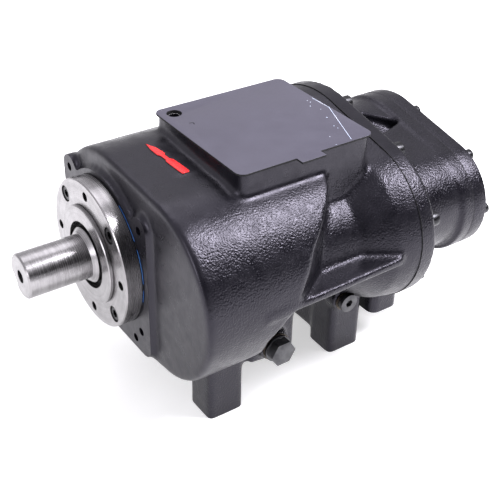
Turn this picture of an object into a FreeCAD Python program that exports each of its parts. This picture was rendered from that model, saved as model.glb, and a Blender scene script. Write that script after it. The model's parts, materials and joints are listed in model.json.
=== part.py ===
import FreeCAD, Part
import math
import os

# Twin-screw air end: two meshing rotors in a cast housing, driven by a bare keyed shaft.
# Frame: +X runs along the drive shaft from the drive end to the rear cover, +Z is up, and the
# origin is on the shaft axis at the front face of the seal cover. All sizes are in millimetres.

V = FreeCAD.Vector
PI = math.pi
same_place = 1e-6
sewing_fit = 1e-5
along = 0.9

# ---------------------------------------------------------------- driving dimensions
# rotors
centre_distance = 96.0
male_lobes = 5
female_lobes = 6
lobe_height = 19.9
lobe_fullness = 0.8
mesh_clearance = 0.35
rotor_length = 205.8
male_wrap = math.radians(300.0)
profile_points_per_lobe = 16
wrap_sections = 13
bore_clearance = 0.3
suction_end_clearance = 0.5

# stations along the shaft axis
cover_thickness = 18.0
cover_gasket_thickness = 0.5
pad_height = 6.0
front_wall_thickness = 59.0
register_height = 4.5
flange_thickness = 25.8
cone_length = 35.0
housing_gasket_thickness = 0.5
discharge_flange_thickness = 18.7
discharge_length = 105.4
end_flange_thickness = 16.0
rear_gasket_thickness = 0.5
rear_cover_thickness = 19.2
rear_cover_edge_r = 1.5
suction_wall_to_bearing = 28.5
bearing_wall_thickness = 15.7
bearing_floor_depth = 61.7

# drive shaft, sleeve and seal cover
shaft_d = 48.0
shaft_stick_out = 76.4
shaft_chamfer = 1.6
centre_hole_r = 7.0
centre_hole_depth = 22.0
keyway_width = 14.0
keyway_depth = 5.5
keyway_length = 58.0
keyway_angle = math.radians(-36.0)
sleeve_r = 30.0
sleeve_seat_step = 0.5
sleeve_front = -9.0
sleeve_nose = 4.5
cover_r = 80.8
cover_chamfer = 1.0
register_r = 53.5
front_bore_r = 36.5
front_lip_thickness = 8.5
seal_seat_r = 42.5
seal_width = 12.0
seal_lip_gap = 0.1
seal_wall = 2.4
seal_web_gap = 1.5
seal_lip_thickness = 2.6
seal_lip_share = 0.7
seal_spacing = 0.5
cover_hole_circle_r = 68.0
cover_hole_count = 4
counterbore_r = 9.0
counterbore_depth = 11.0
clearance_hole_r = 5.5
tapped_hole_r = 5.1
cover_screw_head_r = 8.0
cover_screw_head_height = 10.0
cover_screw_r = 5.0
cover_screw_grip = 14.0
cover_groove_width = 1.5
cover_groove_depth = 0.8

# rolling bearings: bore radius, outer radius, width, rolling element radius, count
male_suction = dict(bore=27.5, outer=50.0, width=21.0, ball=6.5, count=14)
female_suction = dict(bore=20.0, outer=40.0, width=18.0, ball=5.5, count=13)
male_discharge = dict(bore=25.0, outer=45.0, width=20.0, ball=5.8, count=14)
female_discharge = dict(bore=20.0, outer=40.0, width=18.0, ball=5.5, count=13)
male_thrust = dict(bore=25.0, outer=45.0, width=20.0, ball=6.3, count=13)
female_thrust = dict(bore=20.0, outer=40.0, width=18.0, ball=5.9, count=12)
bearing_play = 0.2
rib_width = 3.0
rib_height = 2.4
cage_thickness = 3.0
pocket_gap = 0.35
shoulder_height = 4.5
shoulder_gap = 2.0
shaft_wall_gap = 1.0
nut_thread_step = 1.0
nut_width = 10.0
nut_height = 9.0
nut_slots = 4
nut_slot_width = 7.0
nut_slot_depth = 3.0
thread_stub = 4.0
circlip_width = 2.0
circlip_height = 4.0
circlip_groove = 1.6
circlip_opening = 14.0
retainer_thickness = 8.0
retainer_overlap = 11.5
retainer_bridge_half = 18.0
retainer_hole_r = 3.3
retainer_screw_r = 3.0
retainer_screw_inset = 5.5
retainer_screw_head_r = 5.0
retainer_screw_head_height = 5.0
retainer_screw_count = 4
retainer_screw_turn = 45.0
retainer_screw_depth = 14.0

# cast housings
drum_r_male = 107.3
drum_r_female = 99.0
drum_female_shift = 2.0
drum_female_rise = 4.0
drum_edge_r = 5.0
barrel_r_male = 76.0
barrel_r_female = 67.0
flange_r_male = 113.9
flange_r_female = 93.5
flange_draft = 5.5
drum_skin = 9.0
drum_cut_top = 130.0
drum_edge = ((0.0, 124.0), (32.0, 139.0), (51.0, 150.0), (72.0, 174.0), (89.0, 195.0),
             (drum_cut_top, 240.0))
pocket_root = ((176.0, -162.0), (184.0, -154.0), (200.0, -137.0), (203.0, -127.0), (199.0, -127.0))
drum_foot_x = 104.0
drum_foot_z = -80.0
drum_notch = ((-12.0, -16.0), (-26.0, -34.0))
drum_chamber_bottom = -60.0
shelf_z = 6.0
shelf_thickness = 9.0
shelf_reach = 99.0
shelf_start = 90.0
pad_bottom = -92.0
pad_corner_r = 14.0
pad_root = 8.0
pad_circle_r = 86.0
ear_y = 75.0
ear_z = 62.0
ear_r = 14.0
ear_hole_r = 4.6
ear_hole_depth = 20.0
lower_hole_places = ((-71.0, -64.0), (-58.0, -80.0), (71.0, -64.0), (58.0, -80.0))

# inlet flange on top
inlet_set_back = 16.5
inlet_to_cone = 5.5
inlet_y0 = -128.0
inlet_width = 157.5
inlet_top = 121.0
inlet_neck_bottom = 40.0
inlet_port_bottom = 25.0
inlet_corner_r = 8.0
inlet_port_margin = 16.0
inlet_port_to_end = 50.5
inlet_port_y0 = -102.0
inlet_port_width = 104.0
inlet_port_corner_r = 16.0
inlet_hole_inset = 14.0
inlet_hole_r = 5.1
inlet_hole_depth = 22.0
blank_overhang = 2.2
blank_thickness = 2.2
blank_corner_r = 9.0
blank_hole_r = 8.0
blank_gasket_thickness = 1.0
blank_gasket_inset = 5.0
tab_x0 = 163.0
tab_length = 29.0
tab_reach = 9.5

# cast arrow
arrow_x = 75.0
arrow_tip_y = -1.0
arrow_length = 67.0
arrow_head_length = 27.0
arrow_head_width = 17.0
arrow_neck_width = 7.0
arrow_neck_length = 9.0
arrow_body_width = 15.0
arrow_height = 0.8

# feet and plugs
floor_z = -160.0
front_foot_x0 = 61.0
front_foot_length = 43.0
rear_foot_to_joint = 53.8
rear_foot_length = 44.0
front_near_foot_y = -135.0
rear_near_foot_y = -118.0
near_foot_width = 40.0
far_foot_y = -20.0
far_foot_width = 38.0
foot_hole_y_near = -107.0
foot_hole_spacing = 106.0
foot_hole_r = 7.0
foot_hole_depth = 32.0
foot_top = -30.0
foot_corner_r = 5.0
rear_rib_thickness = 12.0
rear_rib_bottom = -152.0
drain_x = 133.0
drain_z = -80.0
drain_face_y = -150.0
drain_boss_r = 18.0
drain_boss_length = 62.0
drain_block_x0 = 112.0
drain_block_length = 54.0
drain_block_set_back = 12.0
drain_block_bottom = -104.0
boss_root_z = -40.0
oil_boss_root = 10.0
drain_thread_r = 9.0
drain_thread_length = 14.0
drain_collar_r = 15.5
drain_collar_thickness = 3.0
drain_hex_flats = 26.0
drain_hex_height = 10.0
washer_thickness = 2.0
washer_r = 16.0
spot_face_gap = 1.0
spot_face_depth = 20.0
thread_run_out = 4.0
oil_plug_inset = 8.0
oil_plug_z = -79.0
oil_boss_r = 15.0
oil_boss_length = 9.0
oil_thread_r = 8.0
oil_thread_length = 12.0
oil_head_r = 11.0
oil_head_height = 7.0
oil_socket_flats = 8.0
oil_socket_depth = 5.0
oil_washer_r = 12.0

# discharge housing
neck_r_male = 75.8
neck_r_female = 60.5
neck_valley_r_male = 68.0
cover_r_male = 79.8
cover_r_female = 64.8
cover_drop = 4.0
cavity_gap = 1.0
valley_apex = (382.0, -42.0)
valley_mouth = (47.0, -66.0)
valley_floor = 30.0
port_block_x0 = 293.0
port_block_length = 56.0
port_block_y0 = -90.0
port_block_width = 100.0
port_face_z = -122.0
port_corner_r = 10.0
side_boss_x0 = 291.0
side_boss_length = 40.0
side_boss_y0 = -125.0
port_block_top = -40.0
port_r = 24.0
port_hole_spacing_x = 36.0
port_hole_spacing_y = 76.0
port_hole_r = 5.1
port_hole_depth = 20.0
port_throat_width = 36.0
port_throat_top = -34.0
port_throat_depth = 11.0
port_duct_top = -58.0
port_duct_height = 12.0
screw_head_room = 1.0
screw_head_reach = 40.0

# flange and cover screws
flange_screw_r = 5.0
flange_screw_head_r = 8.0
flange_screw_head_height = 10.0
flange_screw_grip = 38.0
flange_screw_inset = 10.5
flange_screw_angles_male = (102.0, 62.0, 22.0, -18.0, -58.0)
flange_screw_angles_female = (100.0, 160.0, 215.0)
rear_screw_r = 4.0
rear_screw_head_r = 6.5
rear_screw_head_height = 8.0
rear_screw_grip = 34.0
rear_screw_inset = 8.5
rear_screw_angles_male = (112.0, 57.0, 0.0, -57.0, -112.0)
rear_screw_angles_female = (112.0, 180.0, -112.0)
screw_hole_gap = 0.5
socket_share = 0.5
head_chamfer_share = 0.08
dowel_r = 5.0
dowel_length = 30.0
dowel_angles = (128.0, -40.0)

# ---------------------------------------------------------------- values that follow from them
female_y = -centre_distance
male_pitch_r = centre_distance * male_lobes / (male_lobes + female_lobes)
female_pitch_r = centre_distance - male_pitch_r
male_tip_r = male_pitch_r + lobe_height
female_tip_r = female_pitch_r
shaft_r = shaft_d / 2
pad_half_width = ear_y + ear_r

pad_face = cover_thickness + cover_gasket_thickness
drum_face = pad_face + pad_height
rotor_wall = drum_face + front_wall_thickness
rotor_x0 = rotor_wall + suction_end_clearance
joint_face = rotor_x0 + rotor_length
cone_x1 = joint_face - flange_thickness
cone_x0 = cone_x1 - cone_length
discharge_x0 = joint_face + housing_gasket_thickness
discharge_flange_x1 = discharge_x0 + discharge_flange_thickness
discharge_x1 = discharge_x0 + discharge_length
rear_cover_x0 = discharge_x1 + rear_gasket_thickness
rear_cover_x1 = rear_cover_x0 + rear_cover_thickness
suction_shoulder = rotor_wall - suction_wall_to_bearing
discharge_bearing_x0 = discharge_x0 + bearing_wall_thickness
bearing_floor = discharge_x0 + bearing_floor_depth
blank_underside = inlet_top + blank_gasket_thickness
rear_foot_y1 = rear_near_foot_y + near_foot_width
inlet_x0 = rotor_wall + inlet_set_back
inlet_length = cone_x1 - inlet_to_cone - inlet_x0
inlet_port_x0 = inlet_x0 + inlet_port_margin
inlet_port_length = inlet_length - inlet_port_margin - inlet_port_to_end
rear_foot_x0 = joint_face - rear_foot_to_joint
oil_plug_x = rear_foot_x0 + oil_plug_inset


# ---------------------------------------------------------------- shape helpers
def cylinder_x(x0, x1, r, y=0.0, z=0.0):
    """A cylinder along +X between two stations."""
    return Part.makeCylinder(r, x1 - x0, V(x0, y, z), V(1, 0, 0))


def cylinder_y(x, y0, y1, z, r):
    """A cylinder along +Y."""
    return Part.makeCylinder(r, y1 - y0, V(x, y0, z), V(0, 1, 0))


def cylinder_z(x, y, z0, z1, r):
    """A cylinder along +Z."""
    return Part.makeCylinder(r, z1 - z0, V(x, y, z0), V(0, 0, 1))


def tube_x(x0, x1, r_outer, r_inner, y=0.0):
    """A plain ring along +X."""
    return cylinder_x(x0, x1, r_outer, y).cut(cylinder_x(x0, x1, r_inner, y))


def block(x0, x1, y0, y1, z0, z1):
    """A box between two corners."""
    return Part.makeBox(x1 - x0, y1 - y0, z1 - z0, V(x0, y0, z0))


def fuse_all(shapes):
    """One solid from overlapping ones."""
    whole = shapes[0].multiFuse(shapes[1:])
    return whole.removeSplitter()


def cut_all(shape, tools):
    """Cuts every tool from the shape."""
    return shape.cut(tools)


def cone_x(x0, x1, r0, r1, y=0.0):
    """A truncated cone along +X."""
    return Part.makeCone(r0, r1, x1 - x0, V(x0, y, 0), V(1, 0, 0))


def rounded_rectangle(x0, x1, y0, y1, z0, z1, r):
    """An upright plate with four rounded corners."""
    plate = block(x0, x1, y0, y1, z0, z1)
    upright = [e for e in plate.Edges if abs(e.tangentAt(e.FirstParameter).z) > along]
    return plate.makeFillet(r, upright)


def polygon_prism_y(points, y0, y1):
    """A prism along Y whose outline is given as (x, z) points."""
    corners = [V(x, y0, z) for x, z in points]
    face = Part.Face(Part.makePolygon(corners + corners[:1]))
    return face.extrude(V(0, y1 - y0, 0))


def hexagon_prism(centre, axis, flats, height, turn=0.0):
    """A hexagonal prism on any axis that is a frame direction."""
    r = flats / math.sqrt(3.0)
    ring = [V(r * math.cos(turn + k * PI / 3), r * math.sin(turn + k * PI / 3), 0) for k in range(6)]
    prism = Part.Face(Part.makePolygon(ring + ring[:1])).extrude(V(0, 0, height))
    prism.Placement = FreeCAD.Placement(centre, FreeCAD.Rotation(V(0, 0, 1), axis))
    return prism


def twin_wire(x, r_male, r_female, y=female_y, z=0.0):
    """The outline around two circles: one on the male axis, one near the female axis."""
    reach = math.hypot(y, z)
    along = V(0, y / reach, z / reach)
    across = V(0, -along.z, along.y)
    share = (r_male - r_female) / reach
    rise = math.sqrt(1.0 - share * share)
    upper = along * share + across * rise
    lower = along * share - across * rise
    male_axis = V(x, 0, 0)
    female_axis = V(x, y, z)
    a_upper = male_axis + upper * r_male
    a_lower = male_axis + lower * r_male
    b_upper = female_axis + upper * r_female
    b_lower = female_axis + lower * r_female
    male_arc = Part.Arc(a_upper, male_axis - along * r_male, a_lower).toShape()
    female_arc = Part.Arc(b_lower, female_axis + along * r_female, b_upper).toShape()
    lower_line = Part.LineSegment(a_lower, b_lower).toShape()
    upper_line = Part.LineSegment(b_upper, a_upper).toShape()
    return Part.Wire([male_arc, lower_line, female_arc, upper_line])


def twin_prism(x0, x1, r_male, r_female, y=female_y, z=0.0):
    """A straight body with the two-circle outline."""
    return Part.Face(twin_wire(x0, r_male, r_female, y, z)).extrude(V(x1 - x0, 0, 0))


def twin_taper(x0, x1, radii0, radii1):
    """A tapering body with the two-circle outline."""
    wires = [twin_wire(x0, *radii0), twin_wire(x1, *radii1)]
    return Part.makeLoft(wires, True, True)


def circle_places(r, degrees, y=0.0, z=0.0):
    """(y, z) places on a circle at the stated angles."""
    return [(y + r * math.cos(math.radians(a)), z + r * math.sin(math.radians(a))) for a in degrees]


def even_degrees(count, first=0.0):
    """Evenly spaced angles."""
    return [first + 360.0 * k / count for k in range(count)]


def rim_at(shape, x):
    """The round edges of a shape that lie in the plane of a station."""
    return [e for e in shape.Edges
            if abs(e.CenterOfMass.x - x) < same_place and e.BoundBox.XLength < same_place]


def socket_screw(head_face, y, z, r, head_r, head_height, grip, direction=1.0):
    """A socket head cap screw along X; head_face is the seat and direction points to the head."""
    head = Part.makeCylinder(head_r, head_height, V(head_face, y, z), V(direction, 0, 0))
    shank = Part.makeCylinder(r, grip, V(head_face, y, z), V(-direction, 0, 0))
    top = V(head_face + direction * head_height, y, z)
    socket = hexagon_prism(top, V(-direction, 0, 0), head_r, head_height * socket_share)
    head = head.makeChamfer(head_height * head_chamfer_share, rim_at(head, top.x))
    return head.fuse(shank).cut(socket).removeSplitter()


def group(shapes):
    """Separate solids kept in one node."""
    solids = []
    for shape in shapes:
        solids += shape.Solids
    return Part.makeCompound(solids)


def save(name, shape):
    """Writes one node."""
    shape.exportStep("parts/" + name + ".step")


# ---------------------------------------------------------------- rotors
def male_profile(angle, offset):
    """A point of the male section at a polar angle, moved inwards along its normal by offset."""
    wave = 0.5 * (1.0 + math.cos(male_lobes * angle))
    slope_wave = -0.5 * male_lobes * math.sin(male_lobes * angle)
    height = wave ** lobe_fullness
    slope = lobe_fullness * slope_wave * max(wave, same_place) ** (lobe_fullness - 1.0)
    r = male_pitch_r + lobe_height * height
    dr = lobe_height * slope
    point = (r * math.cos(angle), r * math.sin(angle))
    tangent = (dr * math.cos(angle) - point[1], dr * math.sin(angle) + point[0])
    size = math.hypot(*tangent)
    tangent = (tangent[0] / size, tangent[1] / size)
    inward = (-tangent[1], tangent[0])
    moved = (point[0] + inward[0] * offset, point[1] + inward[1] * offset)
    return point, tangent, moved


def female_point(angle):
    """The female section point that meshes with the male section point at a polar angle.

    The two touch when the male normal passes through the pitch point, which lies on the line
    of centres at the male pitch radius.
    """
    point, tangent, moved = male_profile(angle, 0.0)
    lever = (point[0] * tangent[0] + point[1] * tangent[1]) / male_pitch_r
    heading = math.atan2(tangent[1], tangent[0])
    pitch_angle = heading - math.acos(max(-1.0, min(1.0, lever)))
    turn = -pitch_angle
    x = point[0] * math.cos(turn) - point[1] * math.sin(turn)
    y = point[0] * math.sin(turn) + point[1] * math.cos(turn)
    back = turn * male_lobes / female_lobes
    x -= centre_distance
    return (x * math.cos(back) - y * math.sin(back), x * math.sin(back) + y * math.cos(back))


def section_curve(points):
    """A closed smooth curve through section points."""
    curve = Part.BSplineCurve()
    curve.interpolate([V(0, p, q) for p, q in points], PeriodicFlag=True)
    return curve


def helix_curve(wrap):
    """A helix of unit radius along the rotor, with the stated turn from end to end."""
    stations = [k / (wrap_sections - 1) for k in range(wrap_sections)]
    places = [V(rotor_x0 + s * rotor_length, math.cos(s * wrap), math.sin(s * wrap)) for s in stations]
    curve = Part.BSplineCurve()
    curve.interpolate(places)
    return curve


def screw_body(points, wrap, y):
    """The helical body of a rotor: its section carried along a helix about the rotor axis."""
    section = section_curve(points)
    helix = helix_curve(wrap)
    poles = []
    for h in helix.getPoles():
        poles.append([V(h.x, y + p.y * h.y - p.z * h.z, p.y * h.z + p.z * h.y) for p in section.getPoles()])
    surface = Part.BSplineSurface()
    surface.buildFromPolesMultsKnots(poles, helix.getMultiplicities(), section.getMultiplicities(),
                                     helix.getKnots(), section.getKnots(), False, True,
                                     helix.Degree, section.Degree)
    side = surface.toShape()
    rims = [e for e in side.Edges if e.isClosed()]
    caps = [Part.Face(Part.Wire([e])) for e in rims]
    body = Part.makeSolid(Part.makeShell([side] + caps))
    body.fix(sewing_fit, sewing_fit, sewing_fit * 10)
    return body if body.Volume > 0 else body.reversed()


def male_section():
    """The male section, slimmer than nominal by the mesh clearance, with a lobe towards -Y."""
    count = male_lobes * profile_points_per_lobe
    points = [male_profile(2.0 * PI * k / count, mesh_clearance)[2] for k in range(count)]
    return [(-p, -q) for p, q in points]


def female_section():
    """The female section, with a flute towards the male rotor (+Y)."""
    step = 2.0 * PI / male_lobes
    count = profile_points_per_lobe
    flute = [female_point(-step / 2 + step * k / count) for k in range(count)]
    points = []
    for lobe in range(female_lobes):
        c = math.cos(2.0 * PI * lobe / female_lobes)
        s = math.sin(2.0 * PI * lobe / female_lobes)
        points += [(-p * c - q * s, p * s - q * c) for p, q in flute]
    return points


def keyway():
    """The key seat in the drive end, open at the shaft's end."""
    seat = block(-shaft_stick_out - 1, -shaft_stick_out + keyway_length - keyway_width / 2,
                 shaft_r - keyway_depth, shaft_r + 2, -keyway_width / 2, keyway_width / 2)
    nose_x = -shaft_stick_out + keyway_length - keyway_width / 2
    nose = cylinder_y(nose_x, shaft_r - keyway_depth, shaft_r + 2, 0, keyway_width / 2)
    seat = seat.fuse(nose)
    seat.rotate(V(0, 0, 0), V(1, 0, 0), math.degrees(keyway_angle))
    return seat


def threaded_end(x0, r, y):
    """The stub behind a lock nut."""
    x1 = x0 + nut_width + thread_stub
    stub = cylinder_x(x0, x1, r, y)
    return stub.makeChamfer(shaft_chamfer, rim_at(stub, x1))


def male_rotor():
    """The male rotor with its integral drive shaft."""
    drive = cylinder_x(-shaft_stick_out, suction_shoulder - male_suction["width"], shaft_r)
    drive = drive.makeChamfer(shaft_chamfer, rim_at(drive, -shaft_stick_out))
    seat = cylinder_x(sleeve_front, suction_shoulder, shaft_r + sleeve_seat_step)
    journal = cylinder_x(suction_shoulder - male_suction["width"], suction_shoulder, male_suction["bore"])
    collar = cylinder_x(suction_shoulder, rotor_x0, male_suction["bore"] + shoulder_height)
    body = screw_body(male_section(), male_wrap, 0.0)
    tail = cylinder_x(joint_face, bearing_floor, male_discharge["bore"])
    stub = threaded_end(bearing_floor, male_discharge["bore"] - nut_thread_step, 0.0)
    rotor = fuse_all([drive, seat, journal, collar, body, tail, stub])
    centre_hole = cylinder_x(-shaft_stick_out, -shaft_stick_out + centre_hole_depth, centre_hole_r)
    return cut_all(rotor, [keyway(), centre_hole])


def female_rotor():
    """The female rotor."""
    bearing = female_suction
    journal = cylinder_x(suction_shoulder - bearing["width"], suction_shoulder, bearing["bore"], female_y)
    collar = cylinder_x(suction_shoulder, rotor_x0, bearing["bore"] + shoulder_height, female_y)
    wrap = -male_wrap * male_lobes / female_lobes
    body = screw_body(female_section(), wrap, female_y)
    tail = cylinder_x(joint_face, bearing_floor, female_discharge["bore"], female_y)
    stub = threaded_end(bearing_floor, female_discharge["bore"] - nut_thread_step, female_y)
    return fuse_all([journal, collar, body, tail, stub])


# ---------------------------------------------------------------- bearings
def pitch_radius(bearing):
    """The circle through the centres of the rolling elements."""
    return (bearing["bore"] + bearing["outer"]) / 2


def roller_outer_ring(bearing, x0, y):
    """Outer ring with a rib at each side."""
    track = pitch_radius(bearing) + bearing["ball"] + bearing_play
    ring = tube_x(x0, x0 + bearing["width"], bearing["outer"], track - rib_height, y)
    groove = tube_x(x0 + rib_width, x0 + bearing["width"] - rib_width, track, track - rib_height, y)
    return ring.cut(groove)


def roller_inner_ring(bearing, x0, y):
    """Plain inner ring."""
    track = pitch_radius(bearing) - bearing["ball"] - bearing_play
    return tube_x(x0, x0 + bearing["width"], track, bearing["bore"], y)


def rollers(bearing, x0, y, gap=0.0):
    """Cylindrical rollers; a gap makes the pocket around each."""
    x_start = x0 + rib_width + bearing_play - gap
    x_end = x0 + bearing["width"] - rib_width - bearing_play + gap
    places = circle_places(pitch_radius(bearing), even_degrees(bearing["count"]), y)
    return [cylinder_x(x_start, x_end, bearing["ball"] + gap, a, b) for a, b in places]


def roller_cage(bearing, x0, y):
    """A band with a pocket for each roller."""
    middle = pitch_radius(bearing)
    x_start = x0 + rib_width / 3
    x_end = x0 + bearing["width"] - rib_width / 3
    band = tube_x(x_start, x_end, middle + cage_thickness / 2, middle - cage_thickness / 2, y)
    return cut_all(band, rollers(bearing, x0, y, pocket_gap))


def ball_track(bearing, x0, y):
    """The groove swept by the balls."""
    centre = V(x0 + bearing["width"] / 2, y, 0)
    return Part.makeTorus(pitch_radius(bearing), bearing["ball"] + bearing_play, centre, V(1, 0, 0))


def ball_rings(bearing, x0, y):
    """Outer and inner ring of a ball bearing."""
    x1 = x0 + bearing["width"]
    middle = pitch_radius(bearing)
    track = ball_track(bearing, x0, y)
    outer = tube_x(x0, x1, bearing["outer"], middle + cage_thickness, y).cut(track)
    inner = tube_x(x0, x1, middle - cage_thickness, bearing["bore"], y).cut(track)
    return outer, inner


def balls(bearing, x0, y, gap=0.0):
    """The balls; a gap makes the pocket around each."""
    x = x0 + bearing["width"] / 2
    places = circle_places(pitch_radius(bearing), even_degrees(bearing["count"]), y)
    return [Part.makeSphere(bearing["ball"] + gap, V(x, a, b)) for a, b in places]


def ball_cage(bearing, x0, y):
    """A band with a pocket for each ball."""
    middle = pitch_radius(bearing)
    x_start = x0 + rib_width / 3
    x_end = x0 + bearing["width"] - rib_width / 3
    band = tube_x(x_start, x_end, middle + cage_thickness / 2, middle - cage_thickness / 2, y)
    return cut_all(band, balls(bearing, x0, y, pocket_gap))


def save_roller_bearing(name, bearing, x0, y):
    """Writes a roller bearing as four nodes."""
    save(name + "_outer_ring", roller_outer_ring(bearing, x0, y))
    save(name + "_inner_ring", roller_inner_ring(bearing, x0, y))
    save(name + "_rollers", group(rollers(bearing, x0, y)))
    save(name + "_cage", roller_cage(bearing, x0, y))


def save_ball_bearing(name, bearing, x0, y):
    """Writes a ball bearing as four nodes."""
    outer, inner = ball_rings(bearing, x0, y)
    save(name + "_outer_ring", outer)
    save(name + "_inner_ring", inner)
    save(name + "_balls", group(balls(bearing, x0, y)))
    save(name + "_cage", ball_cage(bearing, x0, y))


def spacer(bearing, x0, x1, y):
    """The sleeve between two inner rings."""
    return tube_x(x0, x1, bearing["bore"] + shoulder_height, bearing["bore"], y)


def outer_spacer(bearing, x0, x1, y):
    """The ring between two outer rings."""
    return tube_x(x0, x1, bearing["outer"], bearing["outer"] - shoulder_height, y)


def lock_nut(r, y):
    """A slotted lock nut."""
    nut = tube_x(bearing_floor, bearing_floor + nut_width, r + nut_height, r, y)
    slots = []
    for k in range(nut_slots):
        slot = block(bearing_floor, bearing_floor + nut_width, y + r + nut_height - nut_slot_depth,
                     y + r + nut_height + 1, -nut_slot_width / 2, nut_slot_width / 2)
        slot.rotate(V(0, y, 0), V(1, 0, 0), 360.0 * k / nut_slots)
        slots.append(slot)
    return cut_all(nut, slots)


def retainer_places(bearing, y):
    """Screw places around a bearing retainer."""
    r = bearing["outer"] + retainer_overlap - retainer_screw_inset
    return circle_places(r, even_degrees(retainer_screw_count, retainer_screw_turn), y)


def bearing_retainers():
    """The plate that holds both thrust bearings, with its screws."""
    x0 = bearing_floor
    x1 = x0 + retainer_thickness
    plates = []
    for bearing, y in ((male_thrust, 0.0), (female_thrust, female_y)):
        plates.append(cylinder_x(x0, x1, bearing["outer"] + retainer_overlap, y))
    plates.append(block(x0, x1, female_y, 0, -retainer_bridge_half, retainer_bridge_half))
    plate = fuse_all(plates)
    openings = []
    for bearing, y in ((male_thrust, 0.0), (female_thrust, female_y)):
        openings.append(cylinder_x(x0, x1, bearing["outer"] - shoulder_height, y))
        for a, b in retainer_places(bearing, y):
            openings.append(cylinder_x(x0, x1, retainer_hole_r, a, b))
    return cut_all(plate, openings)


def retainer_screws():
    """Low head screws through the bearing retainer."""
    seat = bearing_floor + retainer_thickness
    grip = retainer_thickness + retainer_screw_depth
    screws = []
    for bearing, y in ((male_thrust, 0.0), (female_thrust, female_y)):
        for a, b in retainer_places(bearing, y):
            screws.append(socket_screw(seat, a, b, retainer_screw_r, retainer_screw_head_r,
                                       retainer_screw_head_height, grip))
    return group(screws)


def bearing_circlip():
    """The internal retaining ring of the female suction bearing."""
    r = female_suction["outer"] + circlip_groove
    ring = tube_x(suction_shoulder, suction_shoulder + circlip_width, r, r - circlip_height, female_y)
    gap = block(suction_shoulder, suction_shoulder + circlip_width, female_y - circlip_opening / 2,
                female_y + circlip_opening / 2, 0, r + 1)
    return ring.cut(gap)


# ---------------------------------------------------------------- seal cover
def shaft_sleeve():
    """The wear sleeve under the lip seals, with a tapered nose."""
    x1 = suction_shoulder - male_suction["width"]
    body = cylinder_x(sleeve_front + sleeve_nose, x1, sleeve_r)
    nose = cone_x(sleeve_front, sleeve_front + sleeve_nose, sleeve_r - sleeve_nose, sleeve_r)
    return body.fuse(nose).removeSplitter().cut(
        cylinder_x(sleeve_front, x1, shaft_r + sleeve_seat_step))


def cover_screw_places():
    """The four counterbored holes."""
    return circle_places(cover_hole_circle_r, even_degrees(cover_hole_count, 180.0 / cover_hole_count))


def cover_tapped_places():
    """The four tapped holes for the drive housing."""
    return circle_places(cover_hole_circle_r, even_degrees(cover_hole_count))


def seal_cover():
    """The bare steel cover with its register, seal seat and spigot."""
    spigot_end = suction_shoulder - male_suction["width"]
    disc = cylinder_x(0, cover_thickness, cover_r)
    rim = [e for e in disc.Edges if e.Curve.TypeId == "Part::GeomCircle"]
    disc = disc.makeChamfer(cover_chamfer, rim)
    boss = cylinder_x(-register_height, 0, register_r)
    boss = boss.makeChamfer(cover_chamfer, rim_at(boss, -register_height))
    spigot = cylinder_x(cover_thickness, spigot_end, male_suction["outer"])
    cover = fuse_all([disc, boss, spigot])
    cuts = [cylinder_x(-register_height, spigot_end, front_bore_r)]
    cuts.append(cylinder_x(front_lip_thickness - register_height, spigot_end, seal_seat_r))
    cuts.append(tube_x(-cover_groove_depth, 0, register_r, register_r - cover_groove_width))
    for a, b in cover_screw_places():
        cuts.append(cylinder_x(0, cover_thickness, clearance_hole_r, a, b))
        cuts.append(cylinder_x(0, counterbore_depth, counterbore_r, a, b))
    for a, b in cover_tapped_places():
        cuts.append(cylinder_x(0, cover_thickness, tapped_hole_r, a, b))
    return cut_all(cover, cuts)


def seal_cover_screws():
    """Cap screws sunk in the cover's counterbores."""
    screws = []
    for a, b in cover_screw_places():
        screws.append(socket_screw(counterbore_depth, a, b, cover_screw_r, cover_screw_head_r,
                                   cover_screw_head_height, cover_screw_grip, -1.0))
    return group(screws)


def seal_cover_gasket():
    """The thin gasket behind the cover."""
    ring = tube_x(cover_thickness, pad_face, cover_r, male_suction["outer"])
    return cut_all(ring, [cylinder_x(cover_thickness, pad_face, clearance_hole_r, a, b)
                          for a, b in cover_screw_places()])


def lip_seal(x0):
    """A lip seal: a channel-shaped ring whose lip runs on the sleeve."""
    x1 = x0 + seal_width
    lip = sleeve_r + seal_lip_gap
    case = tube_x(x0, x1, seal_seat_r, seal_seat_r - seal_wall)
    web = tube_x(x0, x0 + seal_wall, seal_seat_r, lip + seal_web_gap)
    lip_ring = tube_x(x0, x0 + seal_width * seal_lip_share, lip + seal_lip_thickness, lip)
    return fuse_all([case, web, lip_ring])


def shaft_seals():
    """Two lip seals one behind the other."""
    first = front_lip_thickness - register_height
    return group([lip_seal(first), lip_seal(first + seal_width + seal_spacing)])


# ---------------------------------------------------------------- rotor housing
def drum_outline(inset=0.0):
    """Side outline of the big front drum, cut back on a slope towards the rear, as (x, z)."""
    front = drum_face if inset == 0.0 else rotor_wall - suction_wall_to_bearing + inset
    front_points = [(front, -drum_cut_top), (front, drum_cut_top)]
    rear_points = [(x - inset, z) for z, x in reversed(drum_edge)]
    shelf_x = rear_points[-1][0]
    notch_points = [(shelf_x + dx, z) for dx, z in drum_notch]
    low_x = drum_foot_x - inset
    return front_points + rear_points + notch_points + [(low_x, drum_foot_z), (low_x, -drum_cut_top)]


def drum(inset=0.0):
    """The front drum, or the chamber inside it when inset is its skin."""
    y = female_y + drum_female_shift
    full = twin_prism(drum_face, inlet_x0 + inlet_length, drum_r_male - inset, drum_r_female - inset,
                      y, drum_female_rise)
    reach = drum_cut_top * 2
    trimmed = full.common(polygon_prism_y(drum_outline(inset), -reach, reach))
    if inset > 0.0:
        return trimmed
    rim = [e for e in trimmed.Edges if abs(e.BoundBox.XMax - drum_face) < same_place]
    return trimmed.makeFillet(drum_edge_r, rim)


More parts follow.
